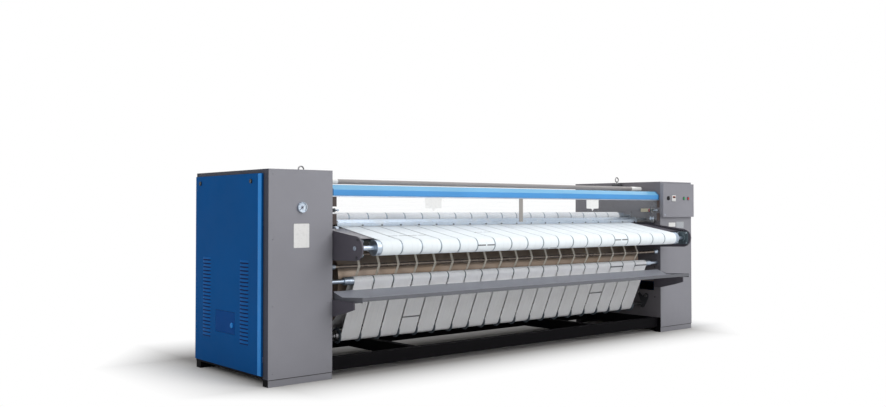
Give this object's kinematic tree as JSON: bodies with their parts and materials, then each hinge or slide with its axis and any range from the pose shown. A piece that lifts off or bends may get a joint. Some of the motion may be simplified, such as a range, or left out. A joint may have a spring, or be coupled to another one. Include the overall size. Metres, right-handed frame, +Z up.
{
  "type": "flatwork ironer",
  "caption": "Heated-cylinder flatwork ironer: belt feed and return at the front, hot cylinder wrapped by ironing belts, two end columns, guard, tray and controls.",
  "frame": {"origin": "middle of the footprint on the floor, halfway between the two columns and between the feed arm tips and the back of the columns", "axes": "+X along the machine to the control column, +Y to the back, +Z up"},
  "size_m": [4.3066, 1.284, 1.35],
  "materials": {
    "black_frame": "black powder coat, satin",
    "dark_plate": "dark grey paint, satin",
    "grey_cover": "grey fine-texture powder coat",
    "blue_panel": "deep blue powder coat, satin",
    "light_blue_beam": "light blue paint, glossy",
    "dark_arm": "dark grey paint, satin",
    "tray_grey": "grey paint, satin",
    "grey_tube": "grey paint with pale end sleeves",
    "polished_steel": "ground and polished round the cylinder",
    "zinc_steel": "bright zinc plate",
    "cast_housing": "painted casting and oiled steel",
    "feed_belt_cloth": "white coated canvas belt",
    "ironing_belt_cloth": "undyed woven aramid and polyester belt",
    "clear_sheet": "clear acrylic sheet",
    "beige_plastic": "moulded switch body",
    "black_plastic": "moulded, satin",
    "green_plastic": "translucent moulded cap",
    "red_plastic": "moulded cap",
    "gauge_white": "white dial in a steel case"
  },
  "bodies": {
    "frame": {"base_front_beam": "black_frame", "base_rear_beam": "black_frame", "base_cross_member_left": "black_frame", "base_cross_member_right": "black_frame", "base_end_frame_left": "black_frame", "base_end_frame_right": "black_frame", "inner_plate_left": "dark_plate", "inner_plate_right": "dark_plate", "tray_bracket_left": "dark_plate", "tray_bracket_right": "dark_plate", "column_front_left": "grey_cover", "column_front_right": "grey_cover", "column_cover_left": "grey_cover", "column_cover_right": "grey_cover", "lifting_eye_left": "black_frame", "lifting_eye_right": "black_frame", "rear_cover": "grey_cover", "cylinder_bearing_left": "cast_housing", "cylinder_bearing_right": "cast_housing", "ironing_belts": "ironing_belt_cloth", "feed_belts": "feed_belt_cloth", "slider_bed": "zinc_steel", "feed_arm_left": "dark_arm", "feed_arm_right": "dark_arm", "tape_rod_lower": "zinc_steel", "guard_beam": "light_blue_beam", "nip_bar": "zinc_steel", "tie_tube": "grey_tube", "linen_tray": "tray_grey", "limit_switch_left": "beige_plastic", "limit_switch_right": "beige_plastic", "gear_motor": "cast_housing", "drive_chain": "cast_housing", "steam_union": "cast_housing", "pressure_gauge": "gauge_white"},
    "cylinder": {"heated_cylinder": "polished_steel"},
    "drive_sprocket": {"drive_sprocket": "cast_housing"},
    "upper_front_roller": {"upper_front_roller": "zinc_steel"},
    "upper_rear_roller": {"upper_rear_roller": "zinc_steel"},
    "lower_rear_roller": {"lower_rear_roller": "zinc_steel"},
    "lower_front_roller": {"lower_front_roller": "zinc_steel"},
    "exit_roller": {"exit_roller": "zinc_steel"},
    "feed_front_roller": {"feed_front_roller": "zinc_steel"},
    "feed_rear_roller": {"feed_rear_roller": "zinc_steel"},
    "finger_guard": {"finger_guard": "clear_sheet"},
    "switch_plunger_left": {"switch_plunger_left": "zinc_steel"},
    "switch_plunger_right": {"switch_plunger_right": "zinc_steel"},
    "side_panel_left": {"side_panel_left": "blue_panel"},
    "side_panel_right": {"side_panel_right": "blue_panel"},
    "panel_lock_left_front": {"panel_lock_left_front": "black_plastic"},
    "panel_lock_left_rear": {"panel_lock_left_rear": "black_plastic"},
    "panel_lock_right_front": {"panel_lock_right_front": "black_plastic"},
    "panel_lock_right_rear": {"panel_lock_right_rear": "black_plastic"},
    "service_hatch": {"service_hatch": "blue_panel"},
    "service_hatch_lock": {"service_hatch_lock": "black_plastic"},
    "control_door": {"control_door": "grey_cover"},
    "selector_knob": {"selector_knob": "black_plastic"},
    "start_button": {"start_button": "green_plastic"},
    "stop_button": {"stop_button": "red_plastic"},
    "gauge_needle": {"gauge_needle": "red_plastic"}
  },
  "joints": [
    {"name": "cylinder_turn", "type": "hinge", "parent": "frame", "child": "cylinder", "pos_m": [0, 0.157, 0.6], "axis": [1, 0, 0], "continuous": true},
    {"name": "drive_sprocket_turn", "type": "hinge", "parent": "frame", "child": "drive_sprocket", "pos_m": [1.756, 0.157, 0.255], "axis": [1, 0, 0], "continuous": true},
    {"name": "upper_front_roller_turn", "type": "hinge", "parent": "frame", "child": "upper_front_roller", "pos_m": [0, 0.011, 1], "axis": [1, 0, 0], "continuous": true},
    {"name": "upper_rear_roller_turn", "type": "hinge", "parent": "frame", "child": "upper_rear_roller", "pos_m": [0, 0.537, 0.958], "axis": [1, 0, 0], "continuous": true},
    {"name": "lower_rear_roller_turn", "type": "hinge", "parent": "frame", "child": "lower_rear_roller", "pos_m": [0, 0.525, 0.24], "axis": [1, 0, 0], "continuous": true},
    {"name": "lower_front_roller_turn", "type": "hinge", "parent": "frame", "child": "lower_front_roller", "pos_m": [0, -0.116, 0.232], "axis": [1, 0, 0], "continuous": true},
    {"name": "exit_roller_turn", "type": "hinge", "parent": "frame", "child": "exit_roller", "pos_m": [0, -0.284, 0.599], "axis": [1, 0, 0], "continuous": true},
    {"name": "feed_front_roller_turn", "type": "hinge", "parent": "frame", "child": "feed_front_roller", "pos_m": [0, -0.567, 0.82], "axis": [1, 0, 0], "continuous": true},
    {"name": "feed_rear_roller_turn", "type": "hinge", "parent": "frame", "child": "feed_rear_roller", "pos_m": [0, -0.115, 0.906], "axis": [1, 0, 0], "continuous": true},
    {"name": "finger_guard_swing", "type": "hinge", "parent": "frame", "child": "finger_guard", "pos_m": [0, -0.3155, 1.1392], "axis": [1, 0, 0], "range_deg": [-80, 2]},
    {"name": "left_plunger_press", "type": "slide", "parent": "frame", "child": "switch_plunger_left", "axis": [0, 1, 0], "range_m": [0, 0.004], "stiffness_N_per_m": 200, "springref_m": -0.002},
    {"name": "right_plunger_press", "type": "slide", "parent": "frame", "child": "switch_plunger_right", "axis": [0, 1, 0], "range_m": [0, 0.004], "stiffness_N_per_m": 200, "springref_m": -0.002},
    {"name": "left_panel_tilt", "type": "hinge", "parent": "frame", "child": "side_panel_left", "pos_m": [-2.145, 0.184, 0.06], "axis": [0, -1, 0], "range_deg": [0, 30]},
    {"name": "right_panel_tilt", "type": "hinge", "parent": "frame", "child": "side_panel_right", "pos_m": [2.145, 0.184, 0.06], "axis": [0, 1, 0], "range_deg": [0, 30]},
    {"name": "left_front_lock_turn", "type": "hinge", "parent": "side_panel_left", "child": "panel_lock_left_front", "pos_m": [-2.145, -0.133, 1.229], "axis": [1, 0, 0], "range_deg": [0, 90]},
    {"name": "left_rear_lock_turn", "type": "hinge", "parent": "side_panel_left", "child": "panel_lock_left_rear", "pos_m": [-2.145, 0.562, 1.229], "axis": [1, 0, 0], "range_deg": [0, 90]},
    {"name": "right_front_lock_turn", "type": "hinge", "parent": "side_panel_right", "child": "panel_lock_right_front", "pos_m": [2.145, -0.133, 1.229], "axis": [1, 0, 0], "range_deg": [0, 90]},
    {"name": "right_rear_lock_turn", "type": "hinge", "parent": "side_panel_right", "child": "panel_lock_right_rear", "pos_m": [2.145, 0.562, 1.229], "axis": [1, 0, 0], "range_deg": [0, 90]},
    {"name": "hatch_swing", "type": "hinge", "parent": "side_panel_left", "child": "service_hatch", "pos_m": [-2.145, 0.3365, 0.342], "axis": [0, 0, -1], "range_deg": [0, 100]},
    {"name": "hatch_lock_turn", "type": "hinge", "parent": "service_hatch", "child": "service_hatch_lock", "pos_m": [-2.145, 0.107, 0.329], "axis": [-1, 0, 0], "range_deg": [0, 90]},
    {"name": "control_door_swing", "type": "hinge", "parent": "frame", "child": "control_door", "pos_m": [2.133, -0.3273, 1.138], "axis": [0, 0, 1], "range_deg": [0, 95]},
    {"name": "selector_turn", "type": "hinge", "parent": "control_door", "child": "selector_knob", "pos_m": [1.755, -0.357, 1.156], "axis": [0, 1, 0], "range_deg": [-45, 45]},
    {"name": "start_press", "type": "slide", "parent": "control_door", "child": "start_button", "axis": [0, 1, 0], "range_m": [0, 0.004], "stiffness_N_per_m": 200, "springref_m": -0.002},
    {"name": "stop_press", "type": "slide", "parent": "control_door", "child": "stop_button", "axis": [0, 1, 0], "range_m": [0, 0.004], "stiffness_N_per_m": 200, "springref_m": -0.002},
    {"name": "needle_turn", "type": "hinge", "parent": "frame", "child": "gauge_needle", "pos_m": [-1.906, -0.335, 1.069], "axis": [0, 1, 0], "range_deg": [0, 270], "stiffness_Nm_per_rad": 0.0005, "springref_deg": -17.19}
  ],
  "couplings": [
    {"joint": "drive_sprocket_turn", "follows": "cylinder_turn", "ratio": 2.6667},
    {"joint": "upper_front_roller_turn", "follows": "cylinder_turn", "ratio": -10.294},
    {"joint": "upper_rear_roller_turn", "follows": "cylinder_turn", "ratio": -10.294},
    {"joint": "lower_rear_roller_turn", "follows": "cylinder_turn", "ratio": -10.294},
    {"joint": "lower_front_roller_turn", "follows": "cylinder_turn", "ratio": -10.294},
    {"joint": "exit_roller_turn", "follows": "cylinder_turn", "ratio": -12.963},
    {"joint": "feed_front_roller_turn", "follows": "cylinder_turn", "ratio": 7.6087},
    {"joint": "feed_rear_roller_turn", "follows": "cylinder_turn", "ratio": 8.75}
  ]
}
